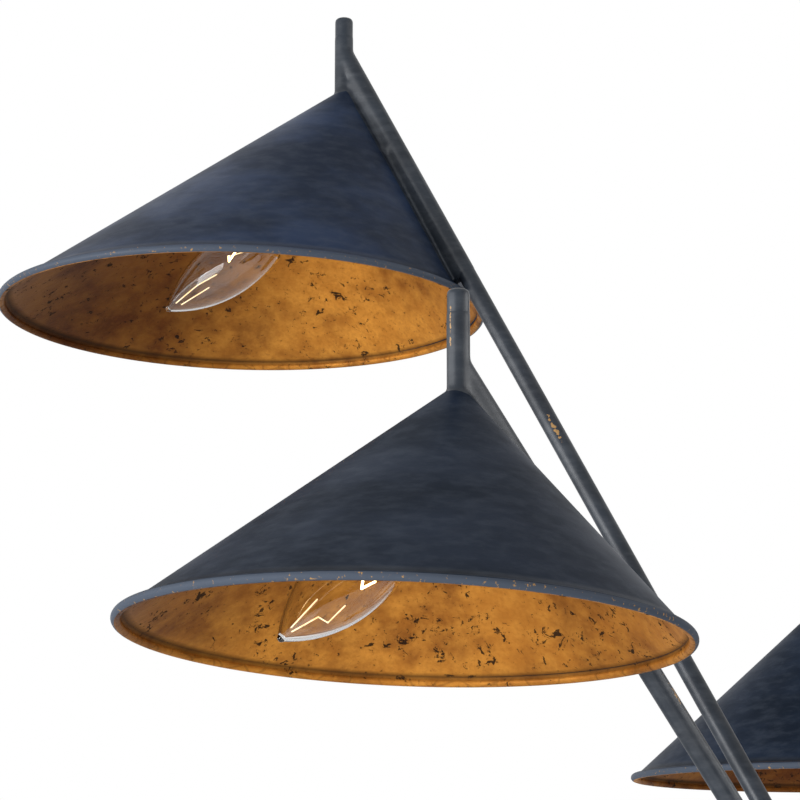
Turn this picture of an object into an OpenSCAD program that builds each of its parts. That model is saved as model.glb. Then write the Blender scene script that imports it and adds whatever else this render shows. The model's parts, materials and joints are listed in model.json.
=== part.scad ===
// Bouquet chandelier: straight arms rise from a low hub in two tiers, and each one carries
// a slanted cone shade, a short post on the shade's tip and a candle lamp under the shade.
// The origin is the middle of the ceiling face, with everything hanging below it.

/* [Layout] */
// Number of arms in each of the two tiers
arms_per_tier = 3; // [2:1:4]
// Direction of the first lower arm, seen from above, in degrees
first_azimuth = 95; // [0:1:180]
// Length of the stem that hangs from the swivel
stem_len = 190; // [120:5:600]
// Length of the column that stands in the hub
column_len = 660; // [520:5:900]

/* [Lower tier] */
// Distance of the lower posts from the chandelier's middle
lower_reach = 311; // [260:1:380]
// Height of the lower arms' top ends above the point where all arms meet
lower_rise = 375; // [310:1:440]
// Radius of the lower rims, at the middle of the bead
lower_rim_r = 116; // [100:0.5:130]
// Height of the lower cones, from rim to tip
lower_cone_h = 107.5; // [92:0.5:124]
// Tilt of the lower rims, outer side up, in degrees
lower_rim_tilt = 2.75; // [0:0.25:5]
// Gap between a lower arm's underside and its cone at the tip
lower_tip_gap = 0.35; // [0.25:0.05:5]
// Distance of a lower cone's tip from its post's middle, towards the arm
lower_tip_in = 0; // [0:0.1:4]
// Gap between a lower arm's underside and its rim bead
lower_rim_gap = 2.5; // [0.4:0.1:6]
// Distance of a lower lamp holder from the cone's tip, along the arm
lower_lamp_drop = 33; // [30:1:44]
// Gap between a lower cone's steep wall and its lamp holder
lower_holder_gap = 4.6; // [3.5:0.1:9]

/* [Upper tier] */
// Distance of the upper posts from the chandelier's middle
upper_reach = 341; // [290:1:410]
// Height of the upper arms' top ends above the point where all arms meet
upper_rise = 625; // [540:1:720]
// Radius of the upper rims, at the middle of the bead
upper_rim_r = 127.5; // [110:0.5:140]
// Height of the upper cones, from rim to tip
upper_cone_h = 118; // [100:0.5:132]
// Tilt of the upper rims, outer side up, in degrees
upper_rim_tilt = 1.25; // [0:0.25:5]
// Gap between an upper arm's underside and its cone at the tip
upper_tip_gap = 0.4; // [0.25:0.05:5]
// Distance of an upper cone's tip from its post's middle, towards the arm
upper_tip_in = 3.9; // [0:0.1:4]
// Gap between an upper arm's underside and its rim bead
upper_rim_gap = 0.5; // [0.4:0.1:6]
// Distance of an upper lamp holder from the cone's tip, along the arm
upper_lamp_drop = 46; // [34:1:56]
// Gap between an upper cone's steep wall and its lamp holder
upper_holder_gap = 13.9; // [3.5:0.1:17]

/* [Shade sheet] */
// Thickness of the shades' sheet metal
sheet_t = 1.1; // [0.8:0.1:2]
// Radius of the rolled bead round the rims
bead_r = 2; // [1.5:0.1:3]
// Width of the weld round a post's foot
weld_w = 4; // [2:0.5:6]
// Height of the weld above the cone's outer wall
weld_rise = 3; // [2:0.5:6]
// Width of the weld's upper edge
weld_edge = 0.6; // [0.3:0.1:1.5]

/* [Arms and posts] */
// Radius of the arms and posts
rod_r = 4.75; // [4:0.05:6]
// Radius of the wire way in the arms
arm_bore_r = 3.2; // [2.5:0.05:3.5]
// Height of the posts above the cones' outer walls
post_rise = 40; // [30:1:60]
// Depth of the posts below the cones' outer walls
post_foot = 13; // [10:0.5:20]
// Rounding of the posts' top edges
post_round = 2.5; // [1:0.1:3.5]

/* [Lamp holders] */
// Radius of the threaded nipple between arm and lamp holder
holder_nipple_r = 4.2; // [3.8:0.1:4.5]
// Radius of the wire way in that nipple
holder_wire_r = 2.4; // [1.5:0.1:2.8]
// Depth of the nipple's end in the holder's cap
holder_nipple_seat = 6; // [4:0.5:8]
// Radius of the lamp holder's body
holder_r = 10.5; // [9:0.1:12]
// Length of the lamp holder from the top of its cap to its mouth
holder_len = 56; // [48:1:64]
// Height of the holder's cap
cap_h = 16; // [13:0.5:20]
// Wall of the holder's cap
cap_wall = 1.2; // [0.8:0.1:2]
// Depth of the holder's screw shell
holder_depth = 24; // [20:0.5:30]

/* [Lamps] */
// Radius of the lamps' screw base
base_r = 5.95; // [5:0.05:7]
// Length of the screw base
base_len = 21; // [16:0.5:22]
// Radius of the glass at its widest
glass_r = 16.2; // [14:0.1:18]
// Length of the glass from its widest place to its tip
glass_tip_len = 46; // [38:0.5:54]
// Length of the glass from its widest place to the base
glass_neck_len = 36; // [28:0.5:40]
// Thickness of the glass
glass_t = 0.8; // [0.6:0.1:1.2]
// Length of the glass that is cemented into the base
glass_seat = 4; // [3:0.5:6]
// Length of the inner stem above the base
lamp_stem_len = 24; // [16:1:30]
// Radius of the inner stem
lamp_stem_r = 2.2; // [1.5:0.1:3]
// Length of the filament above the inner stem
filament_len = 16; // [10:1:22]
// Half width of the filament
filament_w = 3.5; // [2:0.1:5]
// Radius of the filament's wire
filament_r = 0.45; // [0.3:0.05:0.6]
// Wall of the screw base round the glass
base_wall = 0.9; // [0.6:0.1:1.2]
// Length of the screw base that stays outside the holder
base_out = 1; // [0.5:0.1:3]
// Radius of the contact at the screw base's end
contact_r = 3; // [2:0.1:4]
// Height of that contact
contact_h = 2.5; // [1.5:0.1:3]
// Length of the glass tip that is rounded off
glass_end = 2.4; // [1.5:0.1:4]

/* [Hub] */
// Radius of the hub ball
hub_r = 42; // [38:0.5:50]
// Depth of the arms in the hub
arm_seat = 18; // [14:0.5:20]
// Least metal between the column and the upper arms
hub_wall = 3; // [2:0.5:6]
// Radius of the round wire chamber in the hub
chamber_r = 20; // [17:0.5:21]
// Radius of the wire way between that chamber and the column
hub_wire_r = 5; // [4:0.1:5.5]
// Depth of the hub's lower edge below the point where all arms meet
hub_cut = 6; // [4:0.5:10]
// Radius of the cover's spigot
spigot_r = 25; // [22:0.5:30]
// Height of the cover's spigot
spigot_h = 5.5; // [4:0.5:8]
// Wall of the cover's spigot
spigot_wall = 4; // [3:0.5:6]
// Wall of the hub cover
cover_wall = 3.5; // [2.5:0.5:5]
// Radius of the set screws
set_screw_r = 2.5; // [2:0.1:3]
// Length of the set screws
set_screw_len = 8; // [6:0.5:10]
// Radius of the finial's ball
finial_r = 9; // [7:0.5:12]
// Radius of the finial's shank
finial_shank_r = 3; // [2.5:0.1:4]
// Height of the finial's collar
finial_collar_h = 4; // [3:0.5:6]
// Radius of the finial's collar at its top
finial_collar_r = 7; // [6:0.5:10]
// Depth of the finial's ball in its collar
finial_sink = 0.6; // [0.3:0.1:1]

/* [Column and stem] */
// Radius of the column
column_r = 8; // [7:0.1:9]
// Radius of the wire way in the column
column_bore_r = 6; // [5:0.1:6.5]
// Depth of the column in the hub and in the coupler
column_seat = 18; // [14:0.5:24]
// Radius of the stem
stem_r = 6.35; // [5.5:0.05:7]
// Radius of the wire way in the stem
stem_bore_r = 4.6; // [4:0.05:5]
// Depth of the stem in the coupler and in the knuckle
stem_seat = 18; // [14:0.5:24]
// Wall of the coupler round the column
coupler_wall = 4.5; // [3:0.5:7]
// Thickness of the web inside the coupler
coupler_web = 4; // [3:0.5:6]

/* [Swivel] */
// Radius of the swivel housing
housing_r = 12; // [11:0.1:14]
// Length of the swivel housing
housing_len = 30; // [26:0.5:36]
// Height of the swivel housing's top above the canopy's face
housing_in = 2; // [1:0.5:4]
// Wall of the swivel housing
housing_wall = 3; // [2:0.1:3.2]
// Thickness of the housing's floor
housing_floor = 6; // [4:0.5:8]
// Height of the swivel cap above the housing
swivel_cap_h = 10; // [8:0.5:14]
// Length of the cap's spigot in the housing
swivel_spigot = 6; // [4:0.5:7]
// Thickness of the yoke's flange
flange_h = 5; // [4:0.5:6]
// Radius of the yoke's neck
neck_r = 6; // [5.5:0.1:7]
// Length of the neck between housing and fork
neck_len = 12; // [6:0.5:20]
// Radius of the two stops that end the turn
stop_r = 1.25; // [1:0.05:1.5]
// Overlap of the two stops
stop_overlap = 4; // [3:0.5:5]
// Radius of the fork
fork_r = 14; // [13:0.5:18]
// Radius of the fork's ears
ear_r = 8; // [7:0.5:10]
// Thickness of the fork's bridge
bridge_t = 4; // [3:0.5:6]
// Radius of the knuckle pin
pin_r = 3; // [2.5:0.1:4]
// Height of the knuckle pin's head
pin_head_h = 2; // [1.5:0.1:3]
// Radius of the knuckle pin's head
pin_head_r = 4.8; // [4:0.1:6]
// Thickness of the knuckle's tongue
tongue_t = 10; // [8:0.5:12]
// Wall of the knuckle round the stem
knuckle_wall = 3.5; // [2.5:0.5:5]
// Length of the knuckle's neck below its ears
knuckle_neck = 6; // [4:0.5:10]

/* [Ceiling fitting] */
// Radius of the canopy
canopy_r = 70; // [62:1:90]
// Height of the canopy
canopy_h = 34; // [32:1:44]
// Rounding of the canopy's lower edge
canopy_round = 22; // [12:1:26]
// Thickness of the canopy's sheet
canopy_t = 1.2; // [0.8:0.1:2]
// Width of the canopy ring beyond the housing
ring_w = 7; // [5:0.5:10]
// Height of the canopy ring
ring_h = 10; // [7:0.5:12]
// Distance between the two ceiling slots
slot_spacing = 88.9; // [80:0.1:100]
// Length of the ceiling slots
slot_len = 12; // [8:0.5:14]
// Width of the ceiling slots
slot_w = 4.6; // [4:0.1:5]
// Metal round the ceiling slots
slot_margin = 5; // [4:0.5:8]
// Width of the crossbar
bar_w = 20; // [16:0.5:26]
// Thickness of the crossbar
bar_t = 2.5; // [2:0.1:4]
// Drop of the crossbar's middle below its ends
bar_offset = 9; // [8:0.5:12]
// Half length of the crossbar's lowered middle
bar_middle = 26; // [25:0.5:30]
// Radius of the threaded ceiling nipple
nipple_r = 6.5; // [6:0.1:7]
// Radius of the wire way in the ceiling nipple
nipple_bore_r = 4.2; // [3.5:0.1:5]
// Room between the ceiling and the nipple's top end
nipple_top = 2; // [1:0.5:3]
// Thickness of the nipple's nuts
nut_h = 5; // [4:0.5:6]
// Distance across the flats of the nipple's nuts
nut_af = 19; // [17:0.5:21]
// Radius of the ground screw's thread
ground_r = 2; // [1.5:0.1:2.5]
// Radius of the ground screw's head
ground_head_r = 4; // [3:0.1:5]
// Height of the ground screw's head
ground_head_h = 3; // [2:0.1:4]
// Distance of the ground screw from the nipple
ground_x = 18; // [16.5:0.5:20]

/* [Fits] */
// Gap between pieces that are brazed, pressed or screwed together
seat_gap = 0.05; // [0.02:0.01:0.1]
// Gap between an arm and the weld or nipple that is shaped round it
arm_gap = 0.1; // [0.06:0.01:0.2]
// Radial gap of a turning pin or neck
turn_gap = 0.05; // [0.03:0.01:0.1]
// Gap between moving faces that only pass each other
pass_gap = 0.3; // [0.2:0.05:0.5]

/* [Hidden] */
$fn = 72;
LOWER = 0;
UPPER = 1;
TIERS = [LOWER, UPPER];
tier_name = ["lower", "upper"];
arm_numbers = [1 : arms_per_tier];
arm_step = 360 / arms_per_tier;
past = 1;

reach = [lower_reach, upper_reach];
rise = [lower_rise, upper_rise];
rim_r = [lower_rim_r, upper_rim_r];
cone_h = [lower_cone_h, upper_cone_h];
rim_tilt = [lower_rim_tilt, upper_rim_tilt];
tip_gap = [lower_tip_gap, upper_tip_gap];
tip_in = [lower_tip_in, upper_tip_in];
rim_gap = [lower_rim_gap, upper_rim_gap];
lamp_drop = [lower_lamp_drop, upper_lamp_drop];
holder_gap = [lower_holder_gap, upper_holder_gap];

// Slope of the arms, and how far each cone's tip hangs below the top end of its arm's axis
slope = [for (t = TIERS) atan2(rise[t], reach[t])];
arm_len = [for (t = TIERS) norm([reach[t], rise[t]])];
lift = [for (t = TIERS) (rod_r + tip_gap[t]) / cos(slope[t]) + tip_in[t] * tan(slope[t])];
tip_z = [for (t = TIERS) rise[t] - lift[t]];

// The rim's middle lies outwards from the tip, so that the inner side of its bead clears the arm
rim_shift = [for (t = TIERS)
    tip_in[t] + rim_r[t] * cos(rim_tilt[t])
    + (rod_r + bead_r + rim_gap[t]
       - (lift[t] + cone_h[t] + rim_r[t] * sin(rim_tilt[t])) * cos(slope[t])) / sin(slope[t])];

// Height at which a post's axis goes through the cone's outer wall
post_z = [for (t = TIERS)
    tip_z[t] - tip_in[t] * (cone_h[t] - rim_r[t] * sin(rim_tilt[t]))
               / (rim_shift[t] + rim_r[t] * cos(rim_tilt[t]))];

// The same tip, seen in the rim's own tilted frame
local_shift = [for (t = TIERS) rim_shift[t] * cos(rim_tilt[t]) - cone_h[t] * sin(rim_tilt[t])];
local_h = [for (t = TIERS) cone_h[t] * cos(rim_tilt[t]) + rim_shift[t] * sin(rim_tilt[t])];
sheet_drop = [for (t = TIERS) sheet_t * norm([1, local_h[t] / rim_r[t]])];
tip_r = rod_r / 6;

// The steep wall nears the arm from tip to rim; the lamp holder stands off that wall
wall_len = [for (t = TIERS)
    (rim_r[t] * cos(rim_tilt[t]) - rim_shift[t]) * cos(slope[t])
    + (cone_h[t] + rim_r[t] * sin(rim_tilt[t])) * sin(slope[t])];
wall_off = [for (t = TIERS)
    tip_gap[t] + (bead_r + rim_gap[t] - tip_gap[t]) * lamp_drop[t] / wall_len[t]];
holder_d = [for (t = TIERS) rod_r + wall_off[t] + sheet_t + holder_gap[t]];
lamp_s = [for (t = TIERS)
    arm_len[t] - lift[t] * sin(slope[t]) - tip_in[t] * cos(slope[t]) - lamp_drop[t]];

// Stations along a lamp's axis, from the top of its holder's cap
holder_top = cap_wall + holder_nipple_seat;
base_mouth = holder_len + base_out;
base_top = base_mouth - base_len;
glass_foot = base_mouth - glass_seat;
glass_arc = (glass_tip_len * glass_tip_len + glass_r * glass_r) / (2 * glass_r);
glass_neck_r = base_r - base_wall;
glass_mid = glass_foot + glass_neck_len;
glass_end_z = glass_tip_len - glass_end;
glass_end_r = glass_r - glass_arc + sqrt(glass_arc * glass_arc - glass_end_z * glass_end_z);

// Heights, from the ceiling down
bar_z = -bar_offset;
nipple_end = -canopy_h + housing_in;
housing_bottom = nipple_end - housing_len;
cavity_r = housing_r - housing_wall;
flange_r = cavity_r - pass_gap;
flange_z = housing_bottom + housing_floor + 2 * turn_gap;
stop_ring = (nipple_bore_r + cavity_r) / 2;
cavity_top = nipple_end - swivel_spigot;
stop_mid = (flange_z + flange_h + cavity_top) / 2;
fork_top = housing_bottom - neck_len;
pivot_z = fork_top - bridge_t - 2 * pass_gap - ear_r;
slot_half = tongue_t / 2 + pass_gap;
knuckle_top = pivot_z - ear_r - knuckle_neck;
stem_top = knuckle_top - coupler_web;
knuckle_bottom = stem_top - stem_seat;
stem_bottom = stem_top - stem_len;
column_top = stem_bottom - coupler_web;
coupler_r = column_r + coupler_wall;
column_foot = max([for (t = TIERS) (column_r + hub_wall + rod_r / sin(slope[t])) * tan(slope[t])]);
hub_z = column_top - column_len - column_foot;
hub_neck_r = column_r + hub_wall;
arm_start = hub_r - arm_seat;
screw_s = hub_r - arm_seat / 2;
cover_ring_r = spigot_r - spigot_wall;
finial_neck_r = finial_r / 2;
finial_ball_drop = sqrt(finial_r * finial_r - finial_neck_r * finial_neck_r) - finial_sink;

arm_nodes = ["arm", "post", "shade", "lamp_holder", "bulb_base", "bulb_glass"];

function node_name(t, piece, k) = str(tier_name[t], "_", piece, "_", k);
function azimuth(t, k) = first_azimuth + (k - 1) * arm_step + t * arm_step / 2;

// Places: an arm's upright plane, the arm itself, a rim's tilted plane and a lamp's axis
module in_arm_plane(t, k) {
    translate([0, 0, hub_z]) rotate([0, 0, azimuth(t, k)]) children();
}

module along_arm(t, s = 0) {
    rotate([0, 90 - slope[t], 0]) translate([0, 0, s]) children();
}

module across_arm(t, s) {
    along_arm(t, s) rotate([0, 90, 0]) children();
}

module at_rim(t) {
    translate([reach[t] - tip_in[t] + rim_shift[t], 0, tip_z[t] - cone_h[t]])
        rotate([0, -rim_tilt[t], 0]) children();
}

module at_post(t) {
    translate([reach[t], 0, post_z[t]]) children();
}

module on_lamp_axis(t) {
    across_arm(t, lamp_s[t]) translate([0, 0, holder_d[t]]) children();
}

module each_arm() {
    for (t = TIERS) for (k = arm_numbers) in_arm_plane(t, k) {
        $tier = t;
        children();
    }
}

module tube(r, bore, h) {
    difference() {
        cylinder(r = r, h = h);
        translate([0, 0, -past]) cylinder(r = bore, h = h + 2 * past);
    }
}

// One arm and what it carries
module rod_clearance(t, extra) {
    along_arm(t) cylinder(r = rod_r + extra, h = arm_len[t]);
}

module arm(t, k) {
    color("#2f3946") in_arm_plane(t, k) difference() {
        along_arm(t, arm_start) cylinder(r = rod_r, h = arm_len[t] - arm_start);
        along_arm(t, arm_start - past) cylinder(r = arm_bore_r, h = arm_len[t] - arm_start + past);
        at_post(t) translate([0, 0, -post_foot])
            cylinder(r = rod_r + seat_gap, h = post_foot + post_rise);
        across_arm(t, lamp_s[t]) cylinder(r = holder_wire_r, h = rod_r + past);
    }
}

module post(t, k) {
    color("#333d4b") in_arm_plane(t, k) at_post(t) union() {
        translate([0, 0, -post_foot]) cylinder(r = rod_r, h = post_foot + post_rise - post_round);
        translate([0, 0, post_rise - post_round]) rotate_extrude() intersection() {
            union() {
                square([rod_r - post_round, post_round]);
                translate([rod_r - post_round, 0]) circle(r = post_round);
            }
            square([rod_r, post_round]);
        }
    }
}

// A slanted cone, cut off just under its tip
module slanted_cone(t) {
    cut = 1 - tip_r / rim_r[t];
    multmatrix([[1, 0, -local_shift[t] / local_h[t], 0], [0, 1, 0, 0], [0, 0, 1, 0], [0, 0, 0, 1]])
        cylinder(r1 = rim_r[t], r2 = tip_r, h = local_h[t] * cut);
}

module shade(t, k) {
    color("#2b3545") in_arm_plane(t, k) difference() {
        union() {
            difference() {
                union() {
                    at_rim(t) slanted_cone(t);
                    at_post(t) translate([0, 0, -weld_w])
                        cylinder(r1 = rod_r + weld_w, r2 = rod_r + weld_edge, h = weld_w + weld_rise);
                }
                at_rim(t) translate([sheet_drop[t] * local_shift[t] / local_h[t], 0, -sheet_drop[t]])
                    slanted_cone(t);
            }
            at_rim(t) rotate_extrude() translate([rim_r[t], 0]) circle(r = bead_r);
        }
        at_post(t) translate([0, 0, -post_foot])
            cylinder(r = rod_r + seat_gap, h = post_foot + post_rise);
        rod_clearance(t, arm_gap);
        across_arm(t, lamp_s[t]) cylinder(r = holder_nipple_r + seat_gap, h = holder_d[t]);
    }
}

// Lamp holders: a nipple brazed to the arm's underside, a cap and an insulating body
module holder_nipples() {
    color("#a98a4e") each_arm() difference() {
        across_arm($tier, lamp_s[$tier])
            cylinder(r = holder_nipple_r, h = holder_d[$tier] + holder_top);
        across_arm($tier, lamp_s[$tier])
            cylinder(r = holder_wire_r, h = holder_d[$tier] + holder_top + past);
        rod_clearance($tier, arm_gap);
    }
}

module holder_caps() {
    color("#b08f4f") each_arm() on_lamp_axis($tier) difference() {
        cylinder(r = holder_r + cap_wall, h = cap_h);
        translate([0, 0, -past]) cylinder(r = holder_nipple_r + seat_gap, h = cap_h);
        translate([0, 0, cap_wall]) cylinder(r = holder_r + seat_gap, h = cap_h);
    }
}

module lamp_holder(t, k) {
    color("#2a2624") in_arm_plane(t, k) on_lamp_axis(t) difference() {
        translate([0, 0, holder_top + seat_gap])
            cylinder(r = holder_r, h = holder_len - holder_top - seat_gap);
        translate([0, 0, holder_len - holder_depth])
            cylinder(r = base_r + turn_gap, h = holder_depth + past);
        translate([0, 0, holder_top - past]) cylinder(r = holder_wire_r, h = holder_len);
    }
}

// Candle lamps: a screw base that carries the inner stem and filament, and a hollow glass
module bulb_base(t, k) {
    color("#b7a06a") in_arm_plane(t, k) on_lamp_axis(t) union() {
        difference() {
            translate([0, 0, base_top]) cylinder(r = base_r, h = base_len);
            translate([0, 0, glass_foot - seat_gap])
                cylinder(r = glass_neck_r + seat_gap, h = glass_seat + past);
        }
        translate([0, 0, base_top - contact_h]) cylinder(r = contact_r, h = contact_h);
        translate([0, 0, glass_foot - past]) cylinder(r = lamp_stem_r, h = lamp_stem_len);
        translate([0, 0, glass_foot - past + lamp_stem_len]) filament();
    }
}

module filament() {
    translate([-filament_w, 0, 0]) rotate([0, 90, 0]) cylinder(r = filament_r, h = 2 * filament_w);
    for (side = [-1, 1]) translate([side * filament_w, 0, 0]) cylinder(r = filament_r, h = filament_len);
    translate([-filament_w, 0, filament_len]) rotate([0, 90, 0])
        cylinder(r = filament_r, h = 2 * filament_w);
}

// The glass is an arc turned about the axis, from one height above its widest place to another
module glass_form(inset, from, to) {
    rotate_extrude() intersection() {
        translate([glass_r - glass_arc, 0]) circle(r = glass_arc - inset, $fn = 180);
        translate([0, from]) square([glass_r, to - from]);
    }
}

module bulb_glass(t, k) {
    shoulder = glass_seat - glass_neck_len + seat_gap;
    color("#dfe9ee", 0.4) in_arm_plane(t, k) on_lamp_axis(t) translate([0, 0, glass_mid]) difference() {
        union() {
            glass_form(0, shoulder, glass_end_z);
            translate([0, 0, -glass_neck_len]) cylinder(r = glass_neck_r, h = glass_seat + past);
            translate([0, 0, glass_end_z]) sphere(r = glass_end_r);
        }
        glass_form(glass_t, shoulder + glass_t, glass_end_z - glass_end);
        translate([0, 0, -glass_neck_len - past])
            cylinder(r = glass_neck_r - glass_t, h = glass_seat + 2 * past);
    }
}

// Hub, cover and finial
module hub() {
    color("#2d3744") difference() {
        translate([0, 0, hub_z]) union() {
            difference() {
                sphere(r = hub_r);
                translate([0, 0, -hub_cut - hub_r]) cylinder(r = hub_r + past, h = hub_r);
            }
            cylinder(r = hub_neck_r, h = column_foot + column_seat);
        }
        translate([0, 0, hub_z + column_foot]) cylinder(r = column_r + seat_gap, h = column_seat + past);
        translate([0, 0, hub_z]) cylinder(r = hub_wire_r, h = column_foot + past);
        translate([0, 0, hub_z]) sphere(r = chamber_r);
        translate([0, 0, hub_z - hub_cut - past])
            cylinder(r = spigot_r + seat_gap, h = spigot_h + past + seat_gap);
        each_arm() {
            along_arm($tier, arm_start) cylinder(r = rod_r + seat_gap, h = arm_seat + past + hub_r);
            along_arm($tier, chamber_r - past) cylinder(r = arm_bore_r, h = arm_start - chamber_r + 2 * past);
            across_arm($tier, screw_s) cylinder(r = set_screw_r + seat_gap, h = hub_r);
        }
    }
}

module hub_set_screws() {
    color("#6f747a") each_arm() across_arm($tier, screw_s)
        translate([0, 0, rod_r + seat_gap]) cylinder(r = set_screw_r, h = set_screw_len);
}

module hub_cover() {
    color("#2d3744") translate([0, 0, hub_z]) difference() {
        union() {
            difference() {
                sphere(r = hub_r);
                sphere(r = hub_r - cover_wall);
                translate([0, 0, -hub_cut - seat_gap]) cylinder(r = hub_r + past, h = 2 * hub_r);
            }
            translate([0, 0, -hub_cut - seat_gap - cover_wall]) intersection() {
                tube(hub_r, cover_ring_r, cover_wall);
                translate([0, 0, hub_cut + seat_gap + cover_wall]) sphere(r = hub_r - cover_wall / 2);
            }
            translate([0, 0, -hub_cut - seat_gap - past]) tube(spigot_r, cover_ring_r, spigot_h + past);
        }
        translate([0, 0, -hub_r - past]) cylinder(r = finial_shank_r + seat_gap, h = hub_r / 2);
    }
}

module finial() {
    top = hub_z - hub_r - seat_gap;
    color("#9a7434") union() {
        translate([0, 0, top - finial_collar_h]) {
            cylinder(r = finial_shank_r, h = finial_collar_h + 2 * cover_wall);
            cylinder(r1 = finial_neck_r, r2 = finial_collar_r, h = finial_collar_h);
            translate([0, 0, -finial_ball_drop]) sphere(r = finial_r);
        }
    }
}

// Column, coupler and stem
module column() {
    color("#2f3946") translate([0, 0, hub_z + column_foot]) tube(column_r, column_bore_r, column_len);
}

module coupler() {
    color("#333d4b") difference() {
        translate([0, 0, column_top - column_seat])
            cylinder(r = coupler_r, h = column_seat + coupler_web + stem_seat);
        translate([0, 0, column_top - column_seat - past])
            cylinder(r = column_r + seat_gap, h = column_seat + past);
        translate([0, 0, stem_bottom]) cylinder(r = stem_r + seat_gap, h = stem_seat + past);
        translate([0, 0, column_top - past]) cylinder(r = stem_bore_r, h = coupler_web + 2 * past);
    }
}

module stem() {
    color("#2f3946") translate([0, 0, stem_bottom]) tube(stem_r, stem_bore_r, stem_len);
}

// Swivel: the yoke turns in the housing, and the knuckle tilts on the yoke's pin
module stem_knuckle() {
    color("#333d4b") difference() {
        union() {
            translate([0, 0, pivot_z]) rotate([0, 90, 0])
                cylinder(r = ear_r, h = tongue_t, center = true);
            translate([-tongue_t / 2, -ear_r, knuckle_top - past])
                cube([tongue_t, 2 * ear_r, pivot_z - knuckle_top + past]);
            translate([0, 0, knuckle_bottom])
                cylinder(r = stem_r + knuckle_wall, h = knuckle_top - knuckle_bottom);
        }
        translate([-tongue_t, 0, pivot_z]) rotate([0, 90, 0])
            cylinder(r = pin_r + turn_gap, h = 2 * tongue_t);
        translate([0, 0, knuckle_bottom - past]) cylinder(r = stem_r + seat_gap, h = stem_seat + past);
    }
}

module knuckle_pin() {
    color("#80858c") translate([-fork_r - seat_gap, 0, pivot_z]) rotate([0, 90, 0]) union() {
        cylinder(r = pin_r, h = 2 * fork_r + seat_gap);
        translate([0, 0, -pin_head_h]) cylinder(r = pin_head_r, h = pin_head_h);
    }
}

module swivel_yoke() {
    color("#333d4b") difference() {
        union() {
            translate([0, 0, flange_z]) cylinder(r = flange_r, h = flange_h);
            translate([0, 0, fork_top - past]) cylinder(r = neck_r, h = flange_z - fork_top + 2 * past);
            translate([0, 0, fork_top - bridge_t]) cylinder(r = fork_r, h = bridge_t);
            intersection() {
                translate([0, 0, pivot_z - ear_r]) cylinder(r = fork_r, h = fork_top - pivot_z + ear_r);
                union() {
                    translate([-fork_r, 0, pivot_z]) rotate([0, 90, 0]) cylinder(r = ear_r, h = 2 * fork_r);
                    translate([-fork_r, -ear_r, pivot_z]) cube([2 * fork_r, 2 * ear_r, fork_top - pivot_z]);
                }
            }
            translate([stop_ring, 0, flange_z + flange_h - past])
                cylinder(r = stop_r, h = stop_mid + stop_overlap / 2 - flange_z - flange_h + past);
        }
        translate([-slot_half, -fork_r, pivot_z - ear_r - past])
            cube([2 * slot_half, 2 * fork_r, fork_top - bridge_t - pivot_z + ear_r + past]);
        translate([0, 0, fork_top - bridge_t - past])
            cylinder(r = nipple_bore_r, h = canopy_h + housing_len);
        translate([-fork_r - past, 0, pivot_z]) rotate([0, 90, 0])
            cylinder(r = pin_r + seat_gap, h = 2 * fork_r + 2 * past);
    }
}

module swivel_housing() {
    color("#333d4b") difference() {
        translate([0, 0, housing_bottom]) cylinder(r = housing_r, h = housing_len - seat_gap);
        translate([0, 0, housing_bottom + housing_floor]) cylinder(r = cavity_r, h = housing_len);
        translate([0, 0, housing_bottom - past])
            cylinder(r = neck_r + turn_gap, h = housing_floor + 2 * past);
    }
}

module swivel_cap() {
    color("#333d4b") difference() {
        union() {
            translate([0, 0, nipple_end]) cylinder(r = housing_r, h = swivel_cap_h);
            translate([0, 0, cavity_top]) cylinder(r = cavity_r - seat_gap, h = swivel_spigot + past);
            translate([-stop_ring, 0, stop_mid - stop_overlap / 2])
                cylinder(r = stop_r, h = cavity_top - stop_mid + stop_overlap / 2 + past);
        }
        translate([0, 0, nipple_end]) cylinder(r = nipple_r + seat_gap, h = swivel_cap_h + past);
        translate([0, 0, cavity_top - past]) cylinder(r = nipple_bore_r, h = swivel_spigot + 2 * past);
    }
}

// Ceiling fitting
module ceiling_nipple() {
    color("#8b8f94") translate([0, 0, nipple_end + seat_gap])
        tube(nipple_r, nipple_bore_r, -nipple_top - nipple_end - seat_gap);
}

module nipple_nuts() {
    color("#8b8f94") for (z = [bar_z, bar_z - bar_t - nut_h]) translate([0, 0, z]) difference() {
        cylinder(d = nut_af / cos(30), h = nut_h, $fn = 6);
        translate([0, 0, -past]) cylinder(r = nipple_r + seat_gap, h = nut_h + 2 * past);
    }
}

module crossbar() {
    pad_end = slot_spacing / 2 + slot_len / 2 + slot_margin;
    color("#a3a7ab") difference() {
        union() {
            for (side = [0, 180]) rotate([0, 0, side]) {
                translate([bar_middle - bar_t, -bar_w / 2, -bar_t])
                    cube([pad_end - bar_middle + bar_t, bar_w, bar_t]);
                translate([bar_middle - bar_t, -bar_w / 2, bar_z - bar_t])
                    cube([bar_t, bar_w, bar_offset + bar_t]);
            }
            translate([-bar_middle, -bar_w / 2, bar_z - bar_t]) cube([2 * bar_middle, bar_w, bar_t]);
        }
        for (side = [-1, 1]) translate([side * slot_spacing / 2, 0, -bar_t - past])
            linear_extrude(bar_t + 2 * past) union() {
                square([slot_len - slot_w, slot_w], center = true);
                for (end = [-1, 1]) translate([end * (slot_len - slot_w) / 2, 0]) circle(d = slot_w);
            }
        translate([0, 0, bar_z - bar_t - past]) cylinder(r = nipple_r + seat_gap, h = bar_t + 2 * past);
        translate([ground_x, 0, bar_z - bar_t - past])
            cylinder(r = ground_r + seat_gap, h = bar_t + 2 * past);
    }
}

module ground_screw() {
    color("#4f7d4a") translate([ground_x, 0, bar_z - bar_t]) union() {
        cylinder(r = ground_r, h = bar_t + past);
        translate([0, 0, -ground_head_h]) cylinder(r = ground_head_r, h = ground_head_h, $fn = 6);
    }
}

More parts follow.
